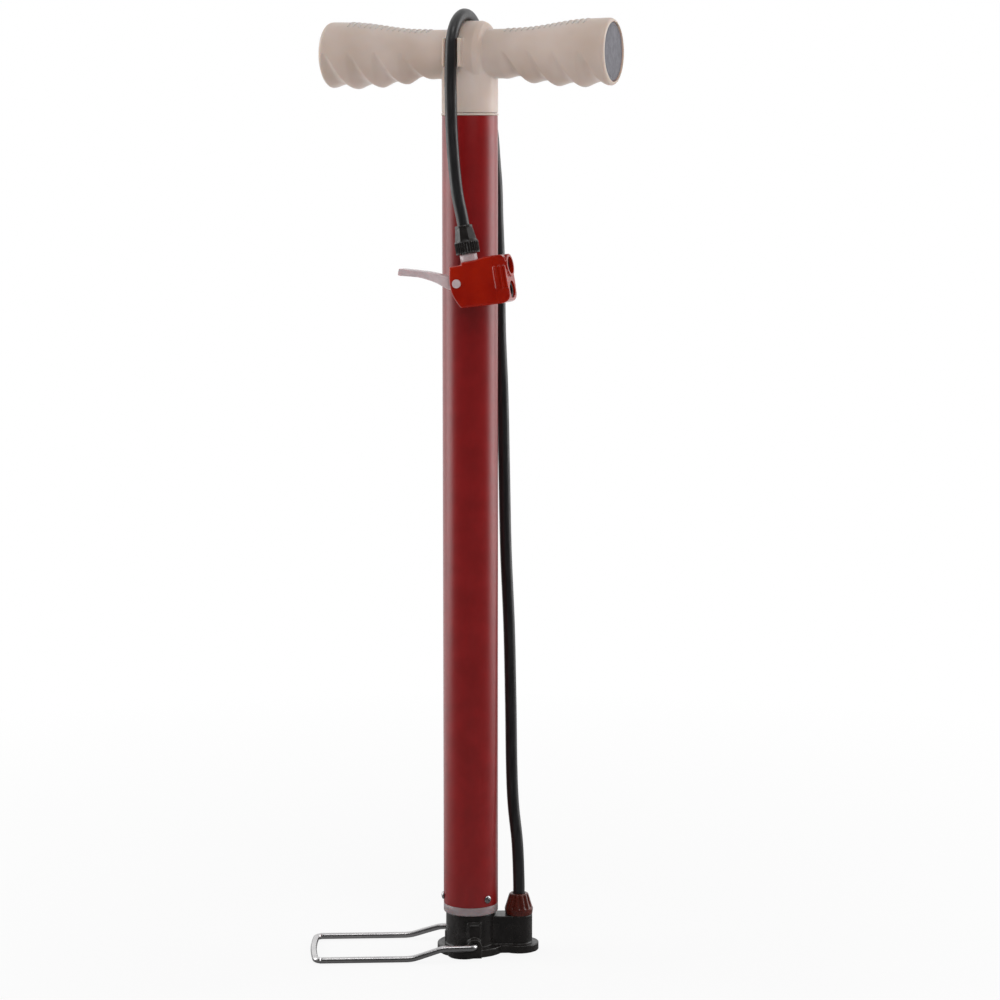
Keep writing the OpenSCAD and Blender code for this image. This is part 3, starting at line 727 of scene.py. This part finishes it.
def make_barrel():
    r = BARREL_R
    line = [
        (BORE_R, BARREL_LOW), (r - 0.4 * MM, BARREL_LOW), (r - 0.1 * MM, BARREL_LOW + 0.15 * MM),
        (r, BARREL_LOW + 0.5 * MM), (r, BARREL_TOP - 0.5 * MM), (r - 0.1 * MM, BARREL_TOP - 0.15 * MM),
        (r - 0.4 * MM, BARREL_TOP), (BORE_R, BARREL_TOP), (BORE_R, BARREL_LOW),
    ]
    tall = []
    for a, b in zip(line, line[1:]):
        steps = 24 if abs(b[1] - a[1]) > 0.1 else 1
        tall += [(a[0], a[1] + (b[1] - a[1]) * k / steps) if steps > 1 else a for k in range(steps)]
    barrel = lathe("barrel_tube", tall + [line[-1]], sides=160)
    barrel.data.set_sharp_from_angle(angle=math.radians(60))
    finish_piece(barrel, "base", "red_paint", "barrel")


make_barrel()


SCREW_DOME = [
    (0, -5), (1.35, -5), (1.35, 0), (2.3, 0), (2.5, 0.25), (2.45, 0.6), (2.1, 1.05), (1.4, 1.35), (0.6, 1.48),
    (0, 1.5),
]


def make_screws():
    """Domed heads with a cross recess, seated on the barrel."""
    heads = []
    for degrees in (-55, 65, 185):
        place = (
            Matrix.Rotation(math.radians(degrees), 4, "Z")
            @ Matrix.Translation((BARREL_R + 0.02 * MM, 0, BARREL_LOW + 5 * MM))
            @ Matrix.Rotation(math.pi / 2, 4, "Y")
            @ Matrix.Rotation(math.radians(20 + degrees), 4, "Z")
        )
        head = lathe("screw", [(r * MM, z * MM) for r, z in SCREW_DOME], place, 48)
        slots = []
        for turn in (0, 90):
            spin = place @ Matrix.Rotation(math.radians(turn), 4, "Z")
            low, high = Vector((-1.35, -0.28, 0.55)) * MM, Vector((1.35, 0.28, 3)) * MM
            slots.append(box_mesh("slot", low, high, spin))
        heads.append(cut(head, slots))
    screws = join(heads[0], heads[1:])
    screws.name = "barrel_screw_heads"
    screws.data.shade_smooth()
    screws.data.set_sharp_from_angle(angle=math.radians(40))
    finish_piece(screws, "base", "steel", "barrel_screws")


make_screws()

# ---------- foot ----------


def moulded_copy(name, node, voxel, smooth, extras=()):
    """The CAD node's own shape, with its edges eased as a mould leaves them."""
    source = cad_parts[node]
    obj = bpy.data.objects.new(name, source.data.copy())
    bpy.context.scene.collection.objects.link(obj)
    if extras:
        join(obj, extras)
    return remesh(obj, voxel, smooth)


def make_foot():
    pads = []
    for near, far in ((-18.3, -17.0), (17.0, 18.3)):
        low, high = Vector((-2.2, near, 11.5)) * MM, Vector((5.2, far, 20.2)) * MM
        pads.append(box_mesh("pad", low, high, bevel=0.5 * MM))
    foot = moulded_copy("foot_moulding", "foot", 0.42 * MM, 4, pads)
    finish_piece(foot, "base", "black_plastic", "foot")


make_foot()


BAIL_LOW = 2.05
BAIL_BEND = 3.4


def bail_half_path(side):
    """Points of one leg, in mm: out through its lug, round a bend, down to the floor and to the end bar."""
    z = BAIL_PIVOT_Z
    low = BAIL_LOW
    bend = BAIL_BEND
    corner = 5
    points = [Vector((BAIL_PIVOT_X, side * y, z)) for y in (15, 18, 21, 23.1)]
    for t in range(15, 91, 15):
        a = math.radians(t)
        x = BAIL_PIVOT_X - bend + bend * math.cos(a)
        points.append(Vector((x, side * (26.5 - bend + bend * math.sin(a)), z)))
    points += [Vector(p) for p in ((-8, side * 26.8, z), (-14, side * 27, z), (-18.5, side * 27.1, 7.85))]
    points += [Vector(p) for p in ((-22, side * 27.3, 7.1), (-29, side * 27.9, 5), (-36, side * 28.3, 2.9))]
    points += [Vector(p) for p in ((-40, side * 28.5, 2.2), (-46, side * 28.5, low), (-70, side * 28.5, low))]
    for t in range(0, 91, 10):
        a = math.radians(t)
        x = -100.2 + corner - corner * math.sin(a)
        points.append(Vector((x, side * (28.5 - corner + corner * math.cos(a)), low)))
    points += [Vector((-101.0, side * 14, low))]
    return points


def make_bail():
    half = bail_half_path(-1)
    path = [p * MM for p in half + [Vector((-101.5, 0, BAIL_LOW))] + list(reversed(bail_half_path(1)))]
    wire = sweep("bail_wire", catmull(path, 3), 1.98 * MM, sides=24, round_ends=True)
    finish_piece(wire, "bail", "zinc_wire", "foot_bail")


make_bail()

# ---------- ring, guide, nut ----------


def make_ring():
    line = [
        (3, 16), (11.6, 16), (12, 16.4), (12, 26), (16.6, 26), (17.2, 26.25), (17.5, 26.9), (17.5, 31.1),
        (17.3, 31.45), (15.9, 31.5), (15.9, 45.5), (3, 45.5), (3, 16),
    ]
    ring = lathe("base_ring", [(r * MM, z * MM) for r, z in line], sides=128)
    ring.data.set_sharp_from_angle(angle=math.radians(50))
    # The ring gets white plastic darkened as painted shade.
    finish_piece(ring, "base", "ring_plastic", "bottom_plug")


make_ring()


def make_guide():
    line = [
        (6.1, 512.5), (15.9, 512.5), (15.9, 534.5), (17.8, 534.5), (17.9, 534.6), (17.9, 535.7),
        (17.8, 535.8), (6.5, 535.8), (6.1, 535.4), (6.1, 512.5),
    ]
    guide = lathe("guide_bush", [(r * MM, z * MM) for r, z in line], sides=128)
    guide.data.set_sharp_from_angle(angle=math.radians(50))
    finish_piece(guide, "base", "cream_plastic", "top_guide")


make_guide()

NUT_LINE = [
    (6.35, 0), (8.5, 0), (8.75, 0.25), (9.1, 3.0), (9.15, 3.9), (8.9, 4.5), (8.3, 6.4), (7.7, 8.3),
    (7.0, 10.6), (6.4, 12.5), (6.0, 13.2), (5.5, 13.55), (4.3, 13.6), (3.98, 13.3), (3.95, 9),
    (6.35, 8), (6.35, 0),
]


def make_nut():
    """Tapered nut with twelve rounded flutes."""

    def fluted(r, z, angle):
        deep = 1.0 * MM * eased((z / MM - 3.6) / 1.6) if r > 6 * MM else 0
        wave = 0.5 + 0.5 * math.cos(12 * angle)
        return r - deep * wave**2

    line = []
    for (r0, z0), (r1, z1) in zip(NUT_LINE, NUT_LINE[1:]):
        steps = max(1, round(abs(z1 - z0) / 0.6))
        line += [(r0 + (r1 - r0) * k / steps, z0 + (z1 - z0) * k / steps) for k in range(steps)]
    line.append(NUT_LINE[-1])

    def outside_only(r, z, angle):
        outer = r > 5.0 * MM and not abs(r - 6.35 * MM) < 0.02 * MM
        return fluted(r, z, angle) if outer else r

    nut = lathe(
        "fluted_nut", [(r * MM, z * MM) for r, z in line], Matrix.Translation(BOSS), 192, outside_only
    )
    nut.data.set_sharp_from_angle(angle=math.radians(55))
    finish_piece(nut, "base", "dark_red_plastic", "hose_nut")


make_nut()

# ---------- pump head ----------


def make_ferrule():
    """Knurled band below a tapered collar with long facets."""

    def shape(r, z, angle):
        h = z / MM
        if r < 5 * MM:
            return r
        if h < 7.5:
            knurl = abs(((angle / (2 * math.pi) * 30) % 1) - 0.5) * 2
            ends = eased((h - 0.4) / 0.6) * eased((7.4 - h) / 0.5)
            return r - 0.55 * MM * (1 - knurl**1.5) * ends
        facet = math.cos(math.pi / 8) / math.cos(((angle + 0.2) % (math.pi / 4)) - math.pi / 8)
        blend = eased((h - 7.6) / 1.5) * eased((17.2 - h) / 1.5)
        return r * (1 - blend * (1 - facet))

    outer = [(5.1, 0), (6.9, 0), (7.3, 0.2), (7.5, 0.6)]
    outer += [(7.5, 0.6 + 6.6 * k / 12) for k in range(1, 12)]
    outer += [(7.5, 7.3), (7.25, 7.55), (7.15, 7.7)]
    outer += [(7.15 - 1.6 * k / 14, 7.7 + 9.2 * k / 14) for k in range(1, 15)]
    outer += [(5.45, 17.3), (5.15, 17.7), (4.6, 17.8), (4.1, 17.7)]
    outer += [(4.05, 17), (4.05, 8.3), (4.95, 7), (4.95, 0), (5.1, 0)]
    place = HEAD_FRAME @ Matrix.Translation((STEM_X, 0, FERRULE_Z))
    ferrule = lathe("hose_ferrule", [(r * MM, z * MM) for r, z in outer], place, 240, shape)
    ferrule.data.set_sharp_from_angle(angle=math.radians(38))
    finish_piece(ferrule, "plunger", "black_plastic", "head_ferrule")


make_ferrule()


def make_stem():
    line = [
        (0, 8.4), (3.45, 8.4), (3.45, 11.1), (5.2, 11.1), (5.3, 11.3), (5.3, 16.7), (5.1, 17.05),
        (4.85, 17.1), (4.85, 24.0), (0, 24.0),
    ]
    place = HEAD_FRAME @ Matrix.Translation((STEM_X, 0, 0))
    stem = lathe("stem_collar", [(r * MM, z * MM) for r, z in line], place, 96)
    stem.data.set_sharp_from_angle(angle=math.radians(50))
    finish_piece(stem, "plunger", "white_plastic", "head_stem")


make_stem()


def outline_solid(name, outline, depth, matrix, bevel):
    """A flat outline in the head's X and Z, as thick as depth, with rounded edges."""
    work = bmesh.new()
    front = [work.verts.new((x * MM, -depth / 2 * MM, z * MM)) for x, z in outline]
    face = work.faces.new(front)
    moved = bmesh.ops.extrude_face_region(work, geom=[face])
    for v in [g for g in moved["geom"] if isinstance(g, bmesh.types.BMVert)]:
        v.co.y += depth * MM
    bmesh.ops.recalc_face_normals(work, faces=work.faces)
    rims = [e for e in work.edges if abs(e.verts[0].co.y - e.verts[1].co.y) < 1e-7]
    bmesh.ops.bevel(work, geom=rims, offset=bevel * MM, segments=5, profile=0.5, affect="EDGES")
    work.transform(matrix)
    mesh = bpy.data.meshes.new(name)
    work.to_mesh(mesh)
    work.free()
    obj = bpy.data.objects.new(name, mesh)
    bpy.context.scene.collection.objects.link(obj)
    return obj


CHEEK_X = 24.5
CHEEK_SLOPE = 0.4
CHEEK_Y = 10.4
SEAT_X = 20.4
MOUTHS = (5.9, -8.9)
MOUTH_ENDS = (33.1, 32.5)
RIBS = (25.2, 28.2, 31.0)


def make_head():
    """Head with cheeks that taper to the nose, grip ribs, two mouths and the lever's slot."""
    outline = [
        (-3.3, 10.9), (-4.5, 5), (-5.1, 0), (-4.9, -4), (-3.6, -8.6), (-1.5, -13), (-0.2, -15.0),
        (0.9, -15.35), (19, -16.2), (27.5, -16.4), (29.8, -15.6), (31.2, -14.0), (31.8, -11.8), (32.3, 9.0),
        (31.8, 11.2), (30.4, 12.8), (28.2, 13.4), (20, 13.5), (16.4, 13.1), (13.8, 12.6), (4.9, 12.5),
        (4.3, 12.2), (4.2, 11.0),
    ]
    shell = outline_solid("head_shell", outline, 20.8, HEAD_FRAME, 1.5)
    parts = []
    for z, x in zip(MOUTHS, MOUTH_ENDS):
        start, end = Vector((17, 0, z)) * MM, Vector((x, 0, z)) * MM
        parts.append(rod_mesh("mouth", start, end, 7.1 * MM, HEAD_FRAME, 96))
    for side in (-1, 1):
        start, end = Vector((0, side * 8, 0)) * MM, Vector((0, side * 11.0, 0)) * MM
        parts.append(rod_mesh("boss", start, end, 4.8 * MM, HEAD_FRAME))
    join(shell, parts)
    cheeks = []
    for side in (-1, 1):
        slope = HEAD_FRAME @ Matrix.Translation(Vector((CHEEK_X, side * CHEEK_Y, 0)) * MM)
        slope = slope @ Matrix.Rotation(-side * math.atan(CHEEK_SLOPE), 4, "Z")
        low, high = (0, 0 if side > 0 else -6, -20), (20, 6 if side > 0 else 0, 18)
        cheeks.append(box_mesh("cheek", Vector(low) * MM, Vector(high) * MM, slope))
    cut(shell, cheeks)
    ribs = []
    for side in (-1, 1):
        for x in RIBS:
            y = side * (10.5 - max(x - CHEEK_X, 0) * CHEEK_SLOPE)
            path = [HEAD_FRAME @ (Vector((x, y, z)) * MM) for z in (-7, -3, 2, 6)]
            ribs.append(sweep("rib", path, 0.85 * MM, 16, True))
    join(shell, ribs)
    remesh(shell, 0.26 * MM, smooth=6)
    tools = []
    for z in MOUTHS:
        start, end = Vector((SEAT_X, 0, z)) * MM, Vector((40, 0, z)) * MM
        tools.append(rod_mesh("bore", start, end, 5.35 * MM, HEAD_FRAME, 96))
    low, high = Vector((-8, -4.4, -18)) * MM, Vector((6.2, 4.4, 7.2)) * MM
    tools.append(box_mesh("lever_slot", low, high, HEAD_FRAME, 0.4 * MM))
    start, end = Vector((0, -12, 0)) * MM, Vector((0, 12, 0)) * MM
    tools.append(rod_mesh("pin_hole", start, end, 2.75 * MM, HEAD_FRAME, 48))
    start, end = Vector((7.3, 0, 8.4)) * MM, Vector((7.3, 0, 20)) * MM
    tools.append(rod_mesh("stem_seat", start, end, 5.4 * MM, HEAD_FRAME, 64))
    cut(shell, tools)
    shell.data.shade_smooth()
    shell.data.set_sharp_from_angle(angle=math.radians(45))
    finish_piece(bevelled(shell, 0.22 * MM, 2, 50), "plunger", "head_red", "head_body")


make_head()


LEVER_REST = math.radians(20)
LEVER_END = -40.4
LEVER_BEND = [
    (0, 0), (2.6, 0), (5.5, -1.2), (10.2, -0.85), (17.3, 0.3), (24.3, 0.65), (31.4, 0.2), (39, -0.45),
    (42, -0.5),
]


def make_lever():
    """The CAD arm with a squared tip, bent a little along its length."""
    arm = HEAD_FRAME @ Matrix.Rotation(LEVER_REST, 4, "Y")
    low, high = Vector((LEVER_END, -5.2, -2.1)) * MM, Vector((LEVER_END + 4, 5.2, 2.1)) * MM
    tip = box_mesh("tip", low, high, arm)
    lever = moulded_copy("thumb_lever", "head_lever", 0.28 * MM, 0, [tip])
    cut(lever, [box_mesh("end", Vector((-46, -8, -5)) * MM, Vector((LEVER_END, 8, 5)) * MM, arm)])
    remesh(lever, 0.28 * MM, 6)
    back = arm.inverted()
    for v in lever.data.vertices:
        place = back @ v.co
        along = max(-place.x / MM, 0)
        shifts = [value_on(LEVER_BEND, max(along + d, 0)) for d in (-2, -1, 0, 1, 2)]
        place.z += sum(shifts) / 5 * MM
        v.co = arm @ place
    finish_piece(lever, "lever", "white_plastic", "head_lever")


make_lever()

# ---------- CAD nodes that stay ----------

KEPT = {
    "plug_seal": "seal_rubber",
    "valve_disc": "seal_rubber",
    "valve_spring": "steel",
    "hose_barb": "brass",
    "plunger_rod": "steel",
    "piston_nut": "steel",
    "piston_plate": "grey_plastic",
    "cup_seal": "seal_rubber",
    "piston_backing": "grey_plastic",
    "rod_bumper": "seal_rubber",
    "rod_insert": "brass",
    "lever_pin": "white_plastic",
    "wide_grommet": "seal_rubber",
    "narrow_grommet": "seal_rubber",
    "grommet_pusher": "cream_plastic",
}
for node, slot in KEPT.items():
    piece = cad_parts[node]
    paint(piece, slot)
    if node != "valve_spring":
        bevelled(piece, 0.18 * MM, 2)

# ---------- floor and light ----------


def light_path(tree, *rays):
    """1 for the given kinds of ray, else 0."""
    path = tree.nodes.new("ShaderNodeLightPath")
    out = path.outputs[rays[0]]
    for ray in rays[1:]:
        either = tree.nodes.new("ShaderNodeMath")
        either.operation = "MAXIMUM"
        tree.links.new(out, either.inputs[0])
        tree.links.new(path.outputs[ray], either.inputs[1])
        out = either.outputs[0]
    return out


def rising(tree, value, near, far, low, kind="LINEAR"):
    """low up to near, rising to 1 at far."""
    node = tree.nodes.new("ShaderNodeMapRange")
    node.interpolation_type = kind
    node.inputs["From Min"].default_value = near
    node.inputs["From Max"].default_value = far
    node.inputs["To Min"].default_value = low
    node.inputs["To Max"].default_value = 1.0
    tree.links.new(value, node.inputs["Value"])
    return node.outputs["Result"]


def front_level(tree, vector, near, far, dim):
    """dim on the user's side of the pump, rising to 1 behind it."""
    split = tree.nodes.new("ShaderNodeSeparateXYZ")
    tree.links.new(vector, split.inputs["Vector"])
    return rising(tree, split.outputs["Y"], near, far, dim, "SMOOTHERSTEP")


def greater(tree, a, b):
    node = tree.nodes.new("ShaderNodeMath")
    node.operation = "MAXIMUM"
    tree.links.new(a, node.inputs[0])
    tree.links.new(b, node.inputs[1])
    return node.outputs[0]


def blended(tree, fac, a, b, target):
    node = tree.nodes.new("ShaderNodeMixShader")
    tree.links.new(fac, node.inputs[0])
    tree.links.new(a, node.inputs[1])
    tree.links.new(b, node.inputs[2])
    tree.links.new(node.outputs[0], target)


FLOOR_HALF = 6
FLOOR_SHARE = 0.88  # of the floor's white near the pump; the rest takes the soft shadow


def make_floor():
    """Pale floor: near white to the camera and white far off, dimmer in gloss on the user's side."""
    material = bpy.data.materials.new("floor")
    material.use_nodes = True
    tree = material.node_tree
    base = tree.nodes["Principled BSDF"]
    base.inputs["Base Color"].default_value = (0.8, 0.8, 0.8, 1)
    base.inputs["Roughness"].default_value = 0.9
    glow = tree.nodes.new("ShaderNodeEmission")
    place = tree.nodes.new("ShaderNodeTexCoord").outputs["Object"]
    level = front_level(tree, place, -0.2, 0.6, 0.04)
    tree.links.new(greater(tree, light_path(tree, "Is Camera Ray"), level), glow.inputs["Color"])
    glow.inputs["Strength"].default_value = 1.0
    away = tree.nodes.new("ShaderNodeVectorMath")
    away.operation = "LENGTH"
    tree.links.new(place, away.inputs[0])
    fade = rising(tree, away.outputs["Value"], 0.2, 0.9, FLOOR_SHARE)
    share = tree.nodes.new("ShaderNodeMath")
    share.operation = "MULTIPLY"
    rays = light_path(tree, "Is Camera Ray", "Is Glossy Ray", "Is Transmission Ray")
    tree.links.new(rays, share.inputs[0])
    tree.links.new(fade, share.inputs[1])
    surface = tree.nodes["Material Output"].inputs["Surface"]
    blended(tree, share.outputs[0], base.outputs[0], glow.outputs[0], surface)
    far = FLOOR_HALF
    corners = [(-far, -far, 0), (far, -far, 0), (far, far, 0), (-far, far, 0)]
    floor = new_object("floor", corners, [(0, 1, 2, 3)], smooth=False)
    floor.location.z = -0.0002
    floor.data.materials.append(material)


make_floor()


def make_world():
    """White behind the pump for the camera, gloss and glass; the user's side is dimmer for gloss."""
    world = bpy.data.worlds.new("studio")
    world.use_nodes = True
    bpy.context.scene.world = world
    tree = world.node_tree
    plain = tree.nodes["Background"]
    plain.inputs["Strength"].default_value = 0.62
    place = tree.nodes.new("ShaderNodeTexCoord").outputs["Generated"]
    level = front_level(tree, place, -0.75, 0.45, 0.06)
    tree.links.new(level, plain.inputs["Color"])
    white = tree.nodes.new("ShaderNodeBackground")
    white.inputs["Strength"].default_value = 1.0
    tree.links.new(greater(tree, light_path(tree, "Is Camera Ray"), level), white.inputs["Color"])
    rays = light_path(tree, "Is Camera Ray", "Is Glossy Ray", "Is Transmission Ray")
    surface = tree.nodes["World Output"].inputs["Surface"]
    blended(tree, rays, plain.outputs[0], white.outputs[0], surface)


make_world()


def area_light(name, place, target, width, height, power):
    """Rectangular panel at place that faces target."""
    data = bpy.data.lights.new(name, "AREA")
    data.shape = "RECTANGLE"
    data.size = width
    data.size_y = height
    data.energy = power
    lamp = bpy.data.objects.new(name, data)
    lamp.location = place
    lamp.rotation_euler = (Vector(target) - Vector(place)).to_track_quat("-Z", "Y").to_euler()
    bpy.context.scene.collection.objects.link(lamp)
    return lamp


area_light("left_panel", (-1.4, 0.25, 0.6), (0, 0, 0.32), 0.9, 1.6, 10)
area_light("right_panel", (1.4, 0.25, 0.6), (0, 0, 0.32), 0.9, 1.6, 10)
area_light("top_panel", (0.1, -0.9, 1.9), (0, 0, 0.3), 0.9, 0.7, 5)
fill = area_light("front_fill", (0.3, -1.9, 1.3), (0, 0, 0.45), 1.2, 1.0, 14)
fill.visible_glossy = False

bpy.context.scene.view_settings.view_transform = "Standard"

bpy.context.view_layer.update()
